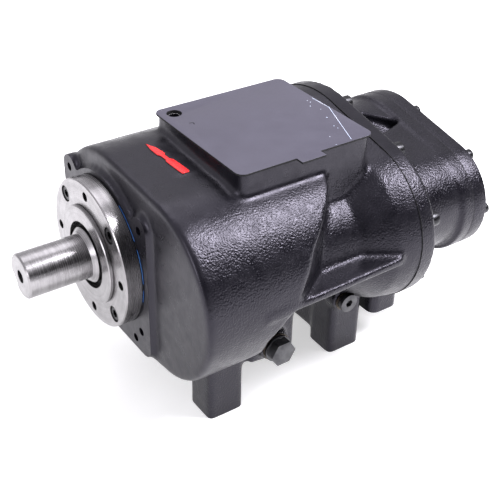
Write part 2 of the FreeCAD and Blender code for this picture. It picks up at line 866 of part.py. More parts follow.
def pocket_wall():
    """The sloping wall of the side pocket, from the drum's rear edge in to the barrel and the neck."""
    wires = []
    for (z, edge_x), (root_x, root_y) in zip(drum_edge, pocket_root):
        drum_y = female_y + drum_female_shift - math.sqrt(drum_r_female ** 2 - (z - drum_female_rise) ** 2)
        corners = [V(drum_foot_x, drum_y, z), V(edge_x, drum_y, z), V(root_x, root_y, z),
                   V(root_x, female_y, z), V(drum_foot_x, female_y, z)]
        wires.append(Part.makePolygon(corners + corners[:1]))
    return Part.makeLoft(wires, True, True)


def barrels(x0, x1, r_male, r_female):
    """Two overlapping round barrels, one around each rotor."""
    return [cylinder_x(x0, x1, r_male), cylinder_x(x0, x1, r_female, female_y)]


def front_pad():
    """The machined pad behind the seal cover, with two ears above and square corners below."""
    plate = block(pad_face, drum_face + pad_root, -pad_half_width, pad_half_width, pad_bottom, ear_z)
    lower = [e for e in plate.Edges if abs(e.CenterOfMass.z - pad_bottom) < same_place
             and abs(e.tangentAt(e.FirstParameter).x) > along]
    plate = plate.makeFillet(pad_corner_r, lower)
    circle = cylinder_x(pad_face, drum_face + pad_root, pad_circle_r)
    shapes = [plate, circle]
    for side in (-1, 1):
        shapes.append(cylinder_x(pad_face, drum_face + pad_root, ear_r, side * ear_y, ear_z))
    return fuse_all(shapes)


def pad_holes():
    """Tapped holes in the ears and lower corners of the pad."""
    places = [(-ear_y, ear_z), (ear_y, ear_z)] + list(lower_hole_places)
    return [cylinder_x(pad_face, pad_face + ear_hole_depth, ear_hole_r, a, b) for a, b in places]


def cast_arrow():
    """The raised arrow on top of the drum that shows the way the shaft turns."""
    half_head = arrow_head_width / 2
    half_neck = arrow_neck_width / 2
    half_body = arrow_body_width / 2
    head_y = arrow_tip_y - arrow_head_length
    neck_y = head_y - arrow_neck_length
    tail_y = arrow_tip_y - arrow_length
    half = [(0.0, arrow_tip_y), (half_head, head_y), (half_neck, head_y), (half_body, neck_y),
            (half_body, tail_y)]
    outline = half + [(-x, y) for x, y in reversed(half[1:])]
    corners = [V(arrow_x + x, y, 0) for x, y in outline]
    prism = Part.Face(Part.makePolygon(corners + corners[:1])).extrude(V(0, 0, drum_cut_top))
    y = female_y + drum_female_shift
    skin = twin_prism(drum_face, drum_foot_x, drum_r_male + arrow_height, drum_r_female + arrow_height,
                      y, drum_female_rise)
    return prism.common(skin)


def inlet_block():
    """The rectangular inlet neck with its flat top face."""
    return rounded_rectangle(inlet_x0, inlet_x0 + inlet_length, inlet_y0, inlet_y0 + inlet_width,
                             inlet_neck_bottom, inlet_top, inlet_corner_r)


def inlet_port():
    """The opening from the inlet face down into the rotor bores."""
    return rounded_rectangle(inlet_port_x0, inlet_port_x0 + inlet_port_length, inlet_port_y0,
                             inlet_port_y0 + inlet_port_width, inlet_port_bottom, inlet_top,
                             inlet_port_corner_r)


def inlet_hole_places():
    """Tapped holes at the corners of the inlet face."""
    xs = (inlet_x0 + inlet_hole_inset, inlet_x0 + inlet_length - inlet_hole_inset)
    ys = (inlet_y0 + inlet_hole_inset, inlet_y0 + inlet_width - inlet_hole_inset)
    return [(x, y) for x in xs for y in ys]


def foot(x0, length, y0, width, top):
    """One foot with softened upright corners."""
    return rounded_rectangle(x0, x0 + length, y0, y0 + width, floor_z, top, foot_corner_r)


def feet():
    """Four feet and the rib that ties the rear pair."""
    front_x = (front_foot_x0, front_foot_length)
    rear_x = (rear_foot_x0, rear_foot_length)
    shapes = [foot(*front_x, front_near_foot_y, near_foot_width, foot_top),
              foot(*front_x, far_foot_y, far_foot_width, foot_top),
              foot(*rear_x, rear_near_foot_y, near_foot_width, foot_top),
              foot(*rear_x, far_foot_y, far_foot_width, foot_top)]
    rib_x0 = rear_foot_x0 + foot_corner_r
    shapes.append(block(rib_x0, rib_x0 + rear_rib_thickness, rear_foot_y1 - foot_corner_r * 2,
                        far_foot_y + foot_corner_r * 2, rear_rib_bottom, foot_top))
    return shapes


def foot_hole_places():
    """Tapped holes in the four feet, on a rectangle."""
    xs = (front_foot_x0 + front_foot_length / 2, rear_foot_x0 + rear_foot_length / 2)
    ys = (foot_hole_y_near, foot_hole_y_near + foot_hole_spacing)
    return [(x, y) for x in xs for y in ys]


def side_shelf():
    """The ledge along the near side, between the drum and the rear flange."""
    y0 = female_y - shelf_reach
    return block(shelf_start, cone_x1 + 1, y0, female_y, shelf_z - shelf_thickness, shelf_z)


def shelf_limit():
    """Keeps the ledge inside the line from the drum to the rear flange."""
    return twin_taper(shelf_start - 1, joint_face, (drum_r_male, shelf_reach),
                      (flange_r_male, flange_r_female))


def plug_bosses():
    """Bosses for the drain plug and the oil plug."""
    drain = cylinder_y(drain_x, drain_face_y, drain_face_y + drain_boss_length, drain_z, drain_boss_r)
    riser = block(drain_block_x0, drain_block_x0 + drain_block_length, drain_face_y + drain_block_set_back,
                  drain_face_y + drain_boss_length, drain_block_bottom, boss_root_z)
    oil = cylinder_y(oil_plug_x, rear_near_foot_y - oil_boss_length, rear_near_foot_y + oil_boss_root,
                     oil_plug_z, oil_boss_r)
    return [drain, riser, oil]


def flange_screw_places():
    """Screws of the joint between the two housings."""
    places = circle_places(flange_r_male - flange_screw_inset, flange_screw_angles_male)
    return places + circle_places(flange_r_female - flange_screw_inset, flange_screw_angles_female, female_y)


def dowel_places():
    """Dowel pins in the joint face."""
    return circle_places(flange_r_male - flange_screw_inset, dowel_angles)


def rotor_housing():
    """The main casting: drum, barrels, cone, rear flange, inlet neck, feet, ledge and bosses."""
    top_radii = (flange_r_male - flange_draft, flange_r_female - flange_draft)
    shapes = [drum(), front_pad()]
    shapes += barrels(drum_face + pad_root, joint_face - 1, barrel_r_male, barrel_r_female)
    shapes.append(twin_taper(cone_x0, cone_x1, (barrel_r_male, barrel_r_female), top_radii))
    shapes.append(twin_taper(cone_x1, joint_face, top_radii, (flange_r_male, flange_r_female)))
    shapes.append(inlet_block())
    shapes += feet()
    shapes.append(side_shelf().common(shelf_limit()))
    shapes += plug_bosses()
    shapes.append(pocket_wall())
    shapes.append(cast_arrow())
    housing = fuse_all(shapes)
    pocket_floor = suction_shoulder - female_suction["width"]
    cuts = [cylinder_x(rotor_wall, joint_face, male_tip_r + bore_clearance)]
    cuts.append(cylinder_x(rotor_wall, joint_face, female_tip_r + bore_clearance, female_y))
    cuts.append(cylinder_x(pad_face, suction_shoulder, male_suction["outer"]))
    cuts.append(cylinder_x(suction_shoulder, rotor_wall,
                           male_suction["bore"] + shoulder_height + shoulder_gap))
    cuts.append(cylinder_x(pocket_floor, rotor_wall, female_suction["outer"], female_y))
    cuts.append(cylinder_x(suction_shoulder, suction_shoulder + circlip_width,
                           female_suction["outer"] + circlip_groove, female_y))
    chamber = drum(drum_skin).cut(barrels(0, joint_face, barrel_r_male, barrel_r_female))
    reach = drum_cut_top * 2
    floor_limit = block(0, joint_face, -reach, reach, drum_chamber_bottom, reach)
    cuts.append(chamber.common(floor_limit))
    cuts.append(inlet_port())
    for x, y in inlet_hole_places():
        cuts.append(cylinder_z(x, y, inlet_top - inlet_hole_depth, inlet_top, inlet_hole_r))
    cuts += pad_holes()
    cover_hole_end = counterbore_depth + cover_screw_grip + thread_run_out
    for a, b in cover_screw_places():
        cuts.append(cylinder_x(pad_face, cover_hole_end, cover_screw_r, a, b))
    for x, y in foot_hole_places():
        cuts.append(cylinder_z(x, y, floor_z, floor_z + foot_hole_depth, foot_hole_r))
    flange_hole_start = discharge_flange_x1 - flange_screw_grip - thread_run_out
    for a, b in flange_screw_places():
        cuts.append(cylinder_x(flange_hole_start, joint_face, flange_screw_r, a, b))
    for a, b in dowel_places():
        cuts.append(cylinder_x(joint_face - dowel_length / 2, joint_face, dowel_r, a, b))
    cuts.append(cylinder_y(drain_x, drain_face_y, drain_face_y + drain_thread_length + thread_run_out,
                           drain_z, drain_thread_r))
    oil_face_y = rear_near_foot_y - oil_boss_length
    cuts.append(cylinder_y(oil_plug_x, oil_face_y, oil_face_y + oil_thread_length + thread_run_out,
                           oil_plug_z, oil_thread_r))
    cuts.append(cylinder_y(oil_plug_x, oil_face_y - spot_face_depth, oil_face_y, oil_plug_z,
                           oil_washer_r + spot_face_gap))
    return cut_all(housing, cuts)


# ---------------------------------------------------------------- blank over the inlet
def inlet_cover_plate():
    """The thin blanking plate over the inlet, with a tab on its near edge and a corner hole."""
    z0 = blank_underside
    z1 = z0 + blank_thickness
    x0 = inlet_x0 - blank_overhang
    x1 = inlet_x0 + inlet_length + blank_overhang
    y0 = inlet_y0 - blank_overhang
    y1 = inlet_y0 + inlet_width + blank_overhang
    sheet = rounded_rectangle(x0, x1, y0, y1, z0, z1, blank_corner_r)
    tab = block(tab_x0, tab_x0 + tab_length, y0 - tab_reach, y0 + 1, z0, z1)
    hole_x, hole_y = inlet_hole_places()[1]
    hole = cylinder_z(hole_x, hole_y, z0, z1, blank_hole_r)
    return sheet.fuse(tab).removeSplitter().cut(hole)


def inlet_gasket():
    """The sealing sheet between the blanking plate and the inlet face."""
    i = blank_gasket_inset
    sheet = rounded_rectangle(inlet_x0 + i, inlet_x0 + inlet_length - i, inlet_y0 + i,
                              inlet_y0 + inlet_width - i, inlet_top, blank_underside, inlet_corner_r)
    holes = [cylinder_z(x, y, inlet_top, blank_underside, blank_hole_r) for x, y in inlet_hole_places()]
    return cut_all(sheet, holes)


# ---------------------------------------------------------------- discharge end
def cavities(x0, x1):
    """The open spaces behind the two thrust bearings."""
    return barrels(x0, x1, male_thrust["outer"] + retainer_overlap + cavity_gap,
                   female_thrust["outer"] + retainer_overlap + cavity_gap)


def neck_valley():
    """The three-cornered hollow on top of the neck, open towards the joint flange."""
    outline = [valley_apex, (discharge_x0, valley_mouth[0]), (discharge_x0, valley_mouth[1])]
    corners = [V(x, y, valley_floor) for x, y in outline]
    return Part.Face(Part.makePolygon(corners + corners[:1])).extrude(V(0, 0, cover_r_male))


def rear_screw_places():
    """Screws of the rear cover."""
    places = circle_places(cover_r_male - rear_screw_inset, rear_screw_angles_male)
    near_r = cover_r_female - rear_screw_inset
    return places + circle_places(near_r, rear_screw_angles_female, female_y, -cover_drop)


def discharge_housing():
    """The casting that holds the discharge bearings and the outlet."""
    end_x0 = discharge_x1 - end_flange_thickness
    shapes = [twin_prism(discharge_x0, discharge_flange_x1, flange_r_male, flange_r_female)]
    shapes += barrels(discharge_x0, discharge_x1 - 1, neck_valley_r_male, neck_r_female)
    shapes.append(twin_prism(discharge_x0, discharge_x1 - 1, neck_r_male, neck_r_female).cut(neck_valley()))
    shapes.append(twin_prism(end_x0, discharge_x1, cover_r_male, cover_r_female, female_y, -cover_drop))
    shapes.append(rounded_rectangle(port_block_x0, port_block_x0 + port_block_length, port_block_y0,
                                    port_block_y0 + port_block_width, port_face_z, port_block_top,
                                    port_corner_r))
    shapes.append(rounded_rectangle(side_boss_x0, side_boss_x0 + side_boss_length, side_boss_y0,
                                    port_block_y0 + port_corner_r * 2, port_face_z, port_block_top,
                                    port_corner_r))
    housing = fuse_all(shapes)
    port_x = port_block_x0 + port_block_length / 2
    port_y = port_block_y0 + port_block_width / 2
    half_throat = port_throat_width / 2
    cuts = []
    for bearing, y in ((male_discharge, 0.0), (female_discharge, female_y)):
        cuts.append(cylinder_x(discharge_x0, discharge_bearing_x0, bearing["bore"] + shaft_wall_gap, y))
        cuts.append(cylinder_x(discharge_bearing_x0, bearing_floor, bearing["outer"], y))
    cuts += cavities(bearing_floor, discharge_x1)
    cuts.append(cylinder_z(port_x, port_y, port_face_z, port_duct_top, port_r))
    cuts.append(block(discharge_x0, discharge_x0 + port_throat_depth, port_y - half_throat,
                      port_y + half_throat, port_duct_top - port_duct_height, port_throat_top))
    cuts.append(block(discharge_x0, port_x, port_y - half_throat, port_y + half_throat,
                      port_duct_top - port_duct_height, port_duct_top))
    for x in (port_x - port_hole_spacing_x / 2, port_x + port_hole_spacing_x / 2):
        for y in (port_y - port_hole_spacing_y / 2, port_y + port_hole_spacing_y / 2):
            cuts.append(cylinder_z(x, y, port_face_z, port_face_z + port_hole_depth, port_hole_r))
    for a, b in flange_screw_places():
        cuts.append(cylinder_x(discharge_x0, discharge_flange_x1, flange_screw_r + screw_hole_gap, a, b))
        cuts.append(cylinder_x(discharge_flange_x1, discharge_flange_x1 + screw_head_reach,
                               flange_screw_head_r + screw_head_room, a, b))
    for a, b in dowel_places():
        cuts.append(cylinder_x(discharge_x0, joint_face + dowel_length / 2, dowel_r, a, b))
    rear_hole_start = rear_cover_x1 - rear_screw_grip - thread_run_out
    for a, b in rear_screw_places():
        cuts.append(cylinder_x(rear_hole_start, discharge_x1, rear_screw_r, a, b))
    for bearing, y in ((male_thrust, 0.0), (female_thrust, female_y)):
        for a, b in retainer_places(bearing, y):
            cuts.append(cylinder_x(bearing_floor - retainer_screw_depth - thread_run_out / 2, bearing_floor,
                                   retainer_screw_r, a, b))
    return cut_all(housing, cuts)


def housing_gasket():
    """The gasket between the two housings, around the bores and the discharge throat."""
    sheet = twin_prism(joint_face, discharge_x0, flange_r_male, flange_r_female)
    bores = [cylinder_x(joint_face, discharge_x0, male_tip_r + bore_clearance)]
    bores.append(cylinder_x(joint_face, discharge_x0, female_tip_r + bore_clearance, female_y))
    for a, b in flange_screw_places():
        bores.append(cylinder_x(joint_face, discharge_x0, flange_screw_r + screw_hole_gap, a, b))
    for a, b in dowel_places():
        bores.append(cylinder_x(joint_face, discharge_x0, dowel_r, a, b))
    return cut_all(sheet, bores)


def rear_gasket():
    """The gasket under the rear cover."""
    sheet = twin_prism(discharge_x1, rear_cover_x0, cover_r_male, cover_r_female, female_y, -cover_drop)
    holes = [cylinder_x(discharge_x1, rear_cover_x0, rear_screw_r + screw_hole_gap, a, b)
             for a, b in rear_screw_places()]
    return cut_all(sheet, cavities(discharge_x1, rear_cover_x0) + holes)


def rear_cover():
    """The flat rear cover."""
    plate = twin_prism(rear_cover_x0, rear_cover_x1, cover_r_male, cover_r_female, female_y, -cover_drop)
    rim = [e for e in plate.Edges if abs(e.BoundBox.XMin - rear_cover_x1) < same_place]
    plate = plate.makeFillet(rear_cover_edge_r, rim)
    holes = [cylinder_x(rear_cover_x0, rear_cover_x1, rear_screw_r + screw_hole_gap, a, b)
             for a, b in rear_screw_places()]
    return cut_all(plate, holes)


def rear_cover_screws():
    """Cap screws of the rear cover."""
    return group([socket_screw(rear_cover_x1, a, b, rear_screw_r, rear_screw_head_r, rear_screw_head_height,
                               rear_screw_grip) for a, b in rear_screw_places()])


def housing_screws():
    """Cap screws that clamp the discharge housing to the rotor housing."""
    return group([socket_screw(discharge_flange_x1, a, b, flange_screw_r, flange_screw_head_r,
                               flange_screw_head_height, flange_screw_grip)
                  for a, b in flange_screw_places()])


def dowel_pins():
    """Two dowels that line the housings up."""
    return group([cylinder_x(joint_face - dowel_length / 2, joint_face + dowel_length / 2, dowel_r, a, b)
                  for a, b in dowel_places()])


# ---------------------------------------------------------------- plugs
def drain_plug():
    """Hexagon head plug with a collar."""
    y = drain_face_y - washer_thickness
    thread = cylinder_y(drain_x, y, drain_face_y + drain_thread_length, drain_z, drain_thread_r)
    collar = cylinder_y(drain_x, y - drain_collar_thickness, y, drain_z, drain_collar_r)
    head = hexagon_prism(V(drain_x, y - drain_collar_thickness, drain_z), V(0, -1, 0), drain_hex_flats,
                         drain_hex_height)
    return fuse_all([thread, collar, head])


def drain_washer():
    """Sealing washer of the drain plug."""
    y = drain_face_y
    return cylinder_y(drain_x, y - washer_thickness, y, drain_z, washer_r).cut(
        cylinder_y(drain_x, y - washer_thickness, y, drain_z, drain_thread_r))


def oil_plug():
    """Round head plug with a hexagon socket."""
    face = rear_near_foot_y - oil_boss_length
    y = face - washer_thickness
    thread = cylinder_y(oil_plug_x, y, face + oil_thread_length, oil_plug_z, oil_thread_r)
    head = cylinder_y(oil_plug_x, y - oil_head_height, y, oil_plug_z, oil_head_r)
    socket = hexagon_prism(V(oil_plug_x, y - oil_head_height, oil_plug_z), V(0, 1, 0), oil_socket_flats,
                           oil_socket_depth)
    return fuse_all([thread, head]).cut(socket)


def oil_washer():
    """Sealing washer of the oil plug."""
    y = rear_near_foot_y - oil_boss_length
    return cylinder_y(oil_plug_x, y - washer_thickness, y, oil_plug_z, oil_washer_r).cut(
        cylinder_y(oil_plug_x, y - washer_thickness, y, oil_plug_z, oil_thread_r))


# ---------------------------------------------------------------- everything
def main():
    """Writes every node."""
    os.makedirs("parts", exist_ok=True)
    male_suction_x = suction_shoulder - male_suction["width"]
    female_suction_x = suction_shoulder - female_suction["width"]
    male_thrust_x = bearing_floor - male_thrust["width"]
    female_thrust_x = bearing_floor - female_thrust["width"]
    male_roller_end = discharge_bearing_x0 + male_discharge["width"]
    female_roller_end = discharge_bearing_x0 + female_discharge["width"]

    save("rotor_housing", rotor_housing())
    save("discharge_housing", discharge_housing())
    save("housing_gasket", housing_gasket())
    save("housing_screws", housing_screws())
    save("dowel_pins", dowel_pins())
    save("rear_cover", rear_cover())
    save("rear_cover_gasket", rear_gasket())
    save("rear_cover_screws", rear_cover_screws())

    save("seal_cover", seal_cover())
    save("seal_cover_gasket", seal_cover_gasket())
    save("seal_cover_screws", seal_cover_screws())
    save("shaft_seals", shaft_seals())
    save("shaft_sleeve", shaft_sleeve())

    save("male_rotor", male_rotor())
    save("female_rotor", female_rotor())
    save_roller_bearing("male_suction", male_suction, male_suction_x, 0.0)
    save_roller_bearing("female_suction", female_suction, female_suction_x, female_y)
    save_roller_bearing("male_discharge", male_discharge, discharge_bearing_x0, 0.0)
    save_roller_bearing("female_discharge", female_discharge, discharge_bearing_x0, female_y)
    save_ball_bearing("male_thrust", male_thrust, male_thrust_x, 0.0)
    save_ball_bearing("female_thrust", female_thrust, female_thrust_x, female_y)
    save("male_inner_spacer", spacer(male_thrust, male_roller_end, male_thrust_x, 0.0))
    save("female_inner_spacer", spacer(female_thrust, female_roller_end, female_thrust_x, female_y))
    save("male_outer_spacer", outer_spacer(male_thrust, male_roller_end, male_thrust_x, 0.0))
    save("female_outer_spacer", outer_spacer(female_thrust, female_roller_end, female_thrust_x, female_y))
    save("male_lock_nut", lock_nut(male_discharge["bore"] - nut_thread_step, 0.0))
    save("female_lock_nut", lock_nut(female_discharge["bore"] - nut_thread_step, female_y))
    save("bearing_retainer", bearing_retainers())
    save("bearing_retainer_screws", retainer_screws())
    save("female_bearing_circlip", bearing_circlip())

    save("inlet_cover_plate", inlet_cover_plate())
    save("inlet_gasket", inlet_gasket())
    save("drain_plug", drain_plug())
    save("drain_plug_washer", drain_washer())
    save("oil_plug", oil_plug())
    save("oil_plug_washer", oil_washer())


main()
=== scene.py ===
import json
import math

import bmesh
import bpy
from mathutils import Matrix, Vector, noise
from mathutils.bvhtree import BVHTree


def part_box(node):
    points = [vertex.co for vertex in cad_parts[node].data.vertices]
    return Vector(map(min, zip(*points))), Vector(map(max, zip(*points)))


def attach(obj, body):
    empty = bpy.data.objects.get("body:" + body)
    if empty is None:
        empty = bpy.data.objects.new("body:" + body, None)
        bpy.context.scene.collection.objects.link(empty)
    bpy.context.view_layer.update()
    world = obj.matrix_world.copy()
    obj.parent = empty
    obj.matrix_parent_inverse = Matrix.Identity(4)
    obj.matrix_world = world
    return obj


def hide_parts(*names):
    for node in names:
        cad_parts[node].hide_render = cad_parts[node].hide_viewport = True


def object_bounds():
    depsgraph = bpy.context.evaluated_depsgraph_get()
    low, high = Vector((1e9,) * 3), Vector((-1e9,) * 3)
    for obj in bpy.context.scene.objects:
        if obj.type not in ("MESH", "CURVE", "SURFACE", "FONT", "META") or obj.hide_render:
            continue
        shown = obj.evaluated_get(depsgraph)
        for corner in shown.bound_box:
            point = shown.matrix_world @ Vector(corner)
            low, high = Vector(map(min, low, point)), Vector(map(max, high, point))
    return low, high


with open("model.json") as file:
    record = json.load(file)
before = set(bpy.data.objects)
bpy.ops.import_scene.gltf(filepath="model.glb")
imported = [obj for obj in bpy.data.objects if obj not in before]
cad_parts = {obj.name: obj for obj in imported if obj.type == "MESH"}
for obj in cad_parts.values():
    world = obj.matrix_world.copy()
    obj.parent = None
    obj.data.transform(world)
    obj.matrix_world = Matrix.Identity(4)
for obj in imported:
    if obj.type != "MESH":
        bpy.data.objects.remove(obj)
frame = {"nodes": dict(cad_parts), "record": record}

MM = 0.001
merge_distance = 1e-6
cad_low, cad_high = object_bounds()

# ---------------------------------------------------------------- values from the frame
housing_low, housing_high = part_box("rotor_housing")
female_low, female_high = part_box("female_rotor")

pad_x = housing_low.x
sole_z = housing_low.z
inlet_z = housing_high.z
port_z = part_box("discharge_housing")[0].z
cover_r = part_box("seal_cover")[1].y
plate_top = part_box("inlet_cover_plate")[1].z
female_y = (female_low.y + female_high.y) / 2

# ---------------------------------------------------------------- how the castings are made
# each is remeshed in voxels, grown and shrunk again to fillet its hollows, smoothed and given a slight wave
housing_voxel = 2.0 * MM
housing_growth = 3.0 * MM
discharge_voxel = 1.6 * MM
discharge_growth = 2.0 * MM
# machined faces get this much more metal first, and slabs cut it off again so that they stay flat
machining_allowance = 6.0 * MM
slab_reach = machining_allowance * 4
on_face = 1e-5
smoothing_steps = 3
smoothing_factor = 0.5
casting_wave = 0.22 * MM
casting_wave_size = 24.0 * MM
casting_triangles = 176000
casting_edge_angle = 50.0

# the paint's orange peel fades out upward over these heights, and forward over these x
satin_top_span = (80 * MM, 100 * MM)
satin_wall_span = (28 * MM, 40 * MM)

# machined faces, each an axis index and a side
front_face = (0, -1)
rear_face = (0, 1)
sole_face = (2, -1)
top_face = (2, 1)

# drilled holes; each cutting tool starts outside its face by hole_overrun
hole_overrun = 8 * MM
# y, z and radius in mm
pad_taps = [(75, 62, 4.6), (-75, 62, 4.6), (71, -64, 4.6), (-71, -64, 4.6), (58, -80, 4.6), (-58, -80, 4.6)]
pad_tap_depth = 20 * MM
# places in mm
foot_hole_x = (82.5, 258.0)
foot_hole_y = (-107.0, -1.0)
foot_hole_depth = 32 * MM
foot_hole_r = 7 * MM
inlet_tap_x = (114.0, 244.5)
inlet_tap_y = (-114.0, 15.5)
inlet_tap_depth = 22 * MM
inlet_tap_r = 5.1 * MM
# the outlet and the taps round it, which lie port_tap_x and port_tap_y to each side
port_x = 321 * MM
port_y = -40 * MM
port_depth = 40 * MM
port_r = 24 * MM
port_tap_x = 18.0 * MM
port_tap_y = 38.0 * MM
port_tap_depth = 20 * MM
port_tap_r = 5.1 * MM

# ---------------------------------------------------------------- eased edges of machined parts
# node, finish and edge width in mm
eased_nodes = [("inlet_cover_plate", "plate_grey", 0.4),
               ("rear_cover", "casting_paint", 0.9),
               ("drain_plug", "plug_steel", 0.6),
               ("oil_plug", "plug_steel", 0.4),
               ("housing_screws", "black_oxide", 0.35),
               ("rear_cover_screws", "black_oxide", 0.3)]
# in degrees: faces merged below flat_angle, edges rounded above sharp_angle
flat_angle = 0.5
sharp_angle = 28.0
part_edge_angle = 40.0

# ---------------------------------------------------------------- paint marks, in mm
arrow_tip = (70.8, -0.5)
arrow_lean = -0.088
arrow_left_share = 0.75
# half width and distance from the tip
arrow_half = [(0.0, 0.0), (3.6, 12.5), (4.6, 23.0), (4.6, 26.5), (2.5, 29.0), (2.5, 37.0), (4.9, 41.0),
              (5.4, 64.5), (4.4, 68.0)]
# a dark border round the red is painted shadow of the raised arrow's edge; heights are from the drum
arrow_border = 0.7
arrow_border_sunk = -1.0
arrow_border_top = 0.35
arrow_sunk = -0.6
arrow_top_rise = 0.9
arrow_rounding = 0.4

chalk_line = (((258.4, -30.0), (259.4, -58.0)), ((259.4, -58.0), (232.8, -127.0)))
chalk_width = 0.6
chalk_top = 0.04
# x, y and radius of the chalk specks
specks = [(250.5, -37.5, 0.7), (244.5, -45.4, 0.8), (249.0, -57.2, 0.6), (242.5, -75.9, 0.9),
          (236.4, -95.1, 0.8), (236.8, -101.0, 0.7), (218.2, -111.5, 0.6), (212.9, -128.0, 0.6),
          (250.0, -32.9, 0.6)]
speck_corners = 6
speck_squash = 0.8
speck_top = 0.05
tick_line = (((115.4, -12.0), (119.4, -13.2)), ((119.4, -13.2), (118.6, -17.0)))
tick_width = 1.1
tick_top = 0.03
mark_sunk = -0.05

# ---------------------------------------------------------------- sealant and a worn hole
# sealant round the shaft cover, from one angle to another in degrees
bead_r = 0.32 * MM
bead_spans = ((-62.0, -34.0), (-28.0, -2.0), (4.0, 15.0))
bead_edge_angle = 60.0
# bright lip of one inlet hole: radius and height above the face, in mm
lip_profile = [(5.15, -1.2), (5.15, -0.4), (5.9, 0.03), (7.2, 0.03), (7.2, -1.2)]

# ---------------------------------------------------------------- floor, light and camera values
floor_reach = 6.0
floor_glow = 0.50
studio_white = (0.97, 0.95, 1.0)
light_aim = (0.17, -0.05, 0.0)
# the sky brightens along sky_toward, over sky_span, between the two strengths
sky_toward = (-0.35, 0.75, 0.55)
sky_span = (-0.55, 0.75)
sky_strength = (0.02, 0.90)
# softboxes: name, direction, distance, width, height and power
softboxes = [("key", (0.48, -0.38, 0.79), 2.0, 0.6, 0.9, 62.0),
             ("top", (0.1, 0.5, 1.0), 2.2, 1.6, 1.2, 12.0),
             ("left", (-0.95, -0.30, 0.42), 2.2, 0.6, 1.3, 15.0),
             ("fill_low", (0.15, -1.0, 0.12), 2.4, 1.6, 0.4, 2.0)]
camera_place = (-331.8 * MM, -756.6 * MM, 554.5 * MM)
camera_lens = 68.14
azimuth = math.radians(-35.27)
elevation = math.radians(33.96)
roll = math.radians(1.46)


# ---------------------------------------------------------------- mesh helpers
def copy_of(node):
    """A merged working copy of a CAD node's mesh."""
    bm = bmesh.new()
    bm.from_mesh(frame["nodes"][node].data)
    bmesh.ops.remove_doubles(bm, verts=bm.verts, dist=merge_distance)
    return bm


def object_of(name, bm):
    """Turns a bmesh into an object of the scene and frees the bmesh."""
    mesh = bpy.data.meshes.new(name)
    bm.to_mesh(mesh)
    bm.free()
    made = bpy.data.objects.new(name, mesh)
    bpy.context.scene.collection.objects.link(made)
    return made


def piece_from(name, bm, material, stands_for=()):
    """Turns a bmesh into a finished piece that rides on the housing."""
    piece = object_of(name, bm)
    piece.data.materials.append(material)
    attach(piece, "housing")
    if stands_for:
        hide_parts(*stands_for)
    return piece


def shade(piece, degrees):
    """Smooth shading that keeps real edges sharp."""
    piece.data.shade_smooth()
    piece.data.set_sharp_from_angle(angle=math.radians(degrees))


def discard(item):
    """Removes a working object and its mesh."""
    mesh = item.data
    bpy.data.objects.remove(item)
    bpy.data.meshes.remove(mesh)


def baked(bm, steps):
    """Runs modifiers on a bmesh and gives the result as a new bmesh."""
    work = object_of("work", bm)
    for kind, settings in steps:
        modifier = work.modifiers.new(kind.lower(), kind)
        for key, value in settings.items():
            setattr(modifier, key, value)
    result = bmesh.new()
    result.from_object(work, bpy.context.evaluated_depsgraph_get())
    discard(work)
    return result


def cut_with(bm, tool_bm):
    """Cuts a tool from a closed bmesh."""
    tool = object_of("tool", tool_bm)
    result = baked(bm, [("BOOLEAN", {"operation": "DIFFERENCE", "solver": "MANIFOLD", "object": tool})])
    discard(tool)
    return result


def add_cylinder(bm, start, end, r, segments=48):
    """A closed cylinder between two points."""
    axis = Vector(end) - Vector(start)
    turn = axis.to_track_quat("Z", "Y").to_matrix().to_4x4()
    place = Matrix.Translation((Vector(start) + Vector(end)) / 2) @ turn
    bmesh.ops.create_cone(bm, cap_ends=True, segments=segments, radius1=r, radius2=r,
                          depth=axis.length, matrix=place)


def add_box(bm, low, high):
    """A closed box between two corners."""
    low, high = Vector(low), Vector(high)
    size = Matrix.Diagonal((high - low).to_4d())
    size[3][3] = 1.0
    bmesh.ops.create_cube(bm, size=1.0, matrix=Matrix.Translation((low + high) / 2) @ size)


def eased(node, width):
    """The node with its flat faces merged and its sharp edges rounded."""
    bm = copy_of(node)
    bmesh.ops.dissolve_limit(bm, angle_limit=math.radians(flat_angle), verts=bm.verts, edges=bm.edges,
                             use_dissolve_boundaries=False, delimit=set())
    limit = math.radians(sharp_angle)
    sharp = [e for e in bm.edges if len(e.link_faces) == 2 and e.calc_face_angle(0.0) > limit]
    bmesh.ops.bevel(bm, geom=sharp, offset=width, offset_type="OFFSET", segments=2, profile=0.5,
                    affect="EDGES", clamp_overlap=True, material=-1)
    bmesh.ops.recalc_face_normals(bm, faces=bm.faces)
    return bm


def slab_of(outline, lift, lower, upper):
    """A closed slab on an outline of (x, y) points; lift gives the height its base follows."""
    bm = bmesh.new()
    base = [bm.verts.new((x, y, lift(x, y) + lower)) for x, y in outline]
    bm.faces.new(base)
    grown = bmesh.ops.extrude_face_region(bm, geom=bm.faces[:])
    for item in grown["geom"]:
        if isinstance(item, bmesh.types.BMVert):
            item.co.z += upper - lower
    bmesh.ops.recalc_face_normals(bm, faces=bm.faces)
    return bm


def stroke(points, width):
    """The outline of a line of constant width through two points."""
    (x0, y0), (x1, y1) = points
    along = Vector((x1 - x0, y1 - y0)).normalized() * (width / 2)
    off = Vector((-along.y, along.x))
    return [(x0 - off.x, y0 - off.y), (x1 - off.x, y1 - off.y), (x1 + off.x, y1 + off.y),
            (x0 + off.x, y0 + off.y)]


def join(target, source):
    """Adds the source bmesh to the target."""
    mesh = bpy.data.meshes.new("part")
    source.to_mesh(mesh)
    source.free()
    target.from_mesh(mesh)
    bpy.data.meshes.remove(mesh)


